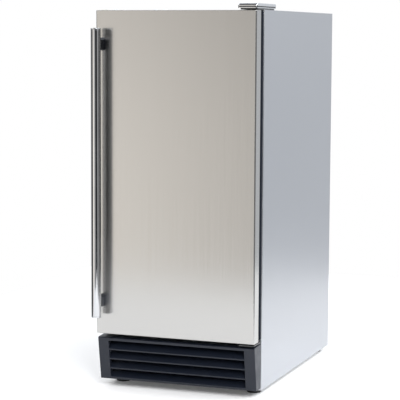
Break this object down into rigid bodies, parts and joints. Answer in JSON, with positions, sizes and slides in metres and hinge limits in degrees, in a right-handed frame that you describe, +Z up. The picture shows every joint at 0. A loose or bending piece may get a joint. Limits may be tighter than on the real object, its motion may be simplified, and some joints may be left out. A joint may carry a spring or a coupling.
{
  "type": "ice maker",
  "caption": "Undercounter ice maker with a brushed steel door, tube handle, louvred toe grille, insulated ice bin, vertical cube mould and compressor base.",
  "frame": {"origin": "on the floor, at the centre of the whole object seen from above", "axes": "+Z up, +X to the right seen from the front, +Y to the rear; the door faces -Y"},
  "size_m": [0.372, 0.656, 0.86],
  "materials": {
    "brushed_stainless": "satin",
    "silver_sheet": "satin",
    "galvanised_sheet": "satin",
    "zinc_screws": "satin",
    "hinge_enamel": "satin",
    "chrome_trim": "polished",
    "black_plastic": "satin",
    "gasket_rubber": "matte",
    "liner_plastic": "satin",
    "insulating_foam": "matte",
    "nylon_bushing": "satin",
    "tinned_copper": "satin",
    "copper_tube": "satin",
    "clear_plastic": "gloss",
    "blue_plastic": "satin",
    "grey_plastic": "satin",
    "switch_plastic": "gloss",
    "silicone_hose": "satin",
    "fin_aluminium": "satin",
    "motor_steel": "satin",
    "compressor_enamel": "satin",
    "mount_rubber": "matte",
    "valve_body": "satin",
    "leg_plastic": "matte"
  },
  "bodies": {
    "cabinet": {"base_pan": "galvanised_sheet", "bin_drain": "liner_plastic", "bin_liner": "liner_plastic", "bottom_hinge_bracket": "hinge_enamel", "cabinet_foam": "insulating_foam", "cabinet_screws": "zinc_screws", "circulation_pump": "grey_plastic", "compressor": "compressor_enamel", "compressor_mounts": "mount_rubber", "condenser": "fin_aluminium", "control_box": "galvanised_sheet", "control_housing": "grey_plastic", "cord_gland": "grey_plastic", "drain_hose": "black_plastic", "drain_spigot": "grey_plastic", "evaporator_grid": "tinned_copper", "evaporator_housing": "liner_plastic", "fan_motor": "motor_steel", "fan_shroud": "galvanised_sheet", "filter_drier": "copper_tube", "float_switch": "grey_plastic", "front_crossbar": "galvanised_sheet", "front_frame": "black_plastic", "hinge_cover": "chrome_trim", "hinge_pins": "zinc_screws", "ice_level_probe": "copper_tube", "ice_slide": "liner_plastic", "lamp_lens": "clear_plastic", "pump_hose": "silicone_hose", "rear_cover": "galvanised_sheet", "rear_panel": "galvanised_sheet", "refrigerant_lines": "copper_tube", "scoop_holder": "liner_plastic", "side_panel_left": "silver_sheet", "side_panel_right": "silver_sheet", "terminal_cover": "black_plastic", "toe_grille": "black_plastic", "top_hinge_bracket": "hinge_enamel", "top_panel": "silver_sheet", "top_plugs": "liner_plastic", "water_distributor": "liner_plastic", "water_inlet_valve": "valve_body", "water_trough": "liner_plastic"},
    "door": {"door_skin": "brushed_stainless", "door_foam": "insulating_foam", "door_liner": "liner_plastic", "door_gasket": "gasket_rubber", "door_bushings": "nylon_bushing", "handle_bar": "chrome_trim", "handle_posts": "chrome_trim", "handle_screws": "zinc_screws"},
    "curtain": {"water_curtain": "clear_plastic"},
    "fan": {"fan_blade": "fin_aluminium"},
    "float": {"trough_float": "nylon_bushing"},
    "rocker": {"rocker_switch": "switch_plastic"},
    "scoop": {"ice_scoop": "blue_plastic"},
    "leg_front_left": {"leg_front_left": "leg_plastic"},
    "leg_front_right": {"leg_front_right": "leg_plastic"},
    "leg_rear_left": {"leg_rear_left": "leg_plastic"},
    "leg_rear_right": {"leg_rear_right": "leg_plastic"}
  },
  "joints": [
    {"name": "door_hinge", "type": "hinge", "parent": "cabinet", "child": "door", "pos_m": [0.17, -0.268, 0.48], "axis": [0, 0, 1], "range_deg": [0, 115]},
    {"name": "curtain_pivot", "type": "hinge", "parent": "cabinet", "child": "curtain", "pos_m": [0, 0.158, 0.786], "axis": [-1, 0, 0], "range_deg": [0, 55]},
    {"name": "fan_spin", "type": "hinge", "parent": "cabinet", "child": "fan", "pos_m": [0.04, -0.144, 0.072], "axis": [0, 1, 0], "continuous": true},
    {"name": "float_rise", "type": "slide", "parent": "cabinet", "child": "float", "axis": [0, 0, 1], "range_m": [0, 0.018]},
    {"name": "rocker_tilt", "type": "hinge", "parent": "cabinet", "child": "rocker", "pos_m": [0, -0.204, 0.783], "axis": [1, 0, 0], "range_deg": [-14, 0]},
    {"name": "scoop_lift", "type": "slide", "parent": "cabinet", "child": "scoop", "axis": [0, 0, 1], "range_m": [0, 0.12]},
    {"name": "front_left_level", "type": "slide", "parent": "cabinet", "child": "leg_front_left", "axis": [0, 0, -1], "range_m": [-0.003, 0.022]},
    {"name": "front_right_level", "type": "slide", "parent": "cabinet", "child": "leg_front_right", "axis": [0, 0, -1], "range_m": [-0.003, 0.022]},
    {"name": "rear_left_level", "type": "slide", "parent": "cabinet", "child": "leg_rear_left", "axis": [0, 0, -1], "range_m": [-0.003, 0.022]},
    {"name": "rear_right_level", "type": "slide", "parent": "cabinet", "child": "leg_rear_right", "axis": [0, 0, -1], "range_m": [-0.003, 0.022]}
  ]
}
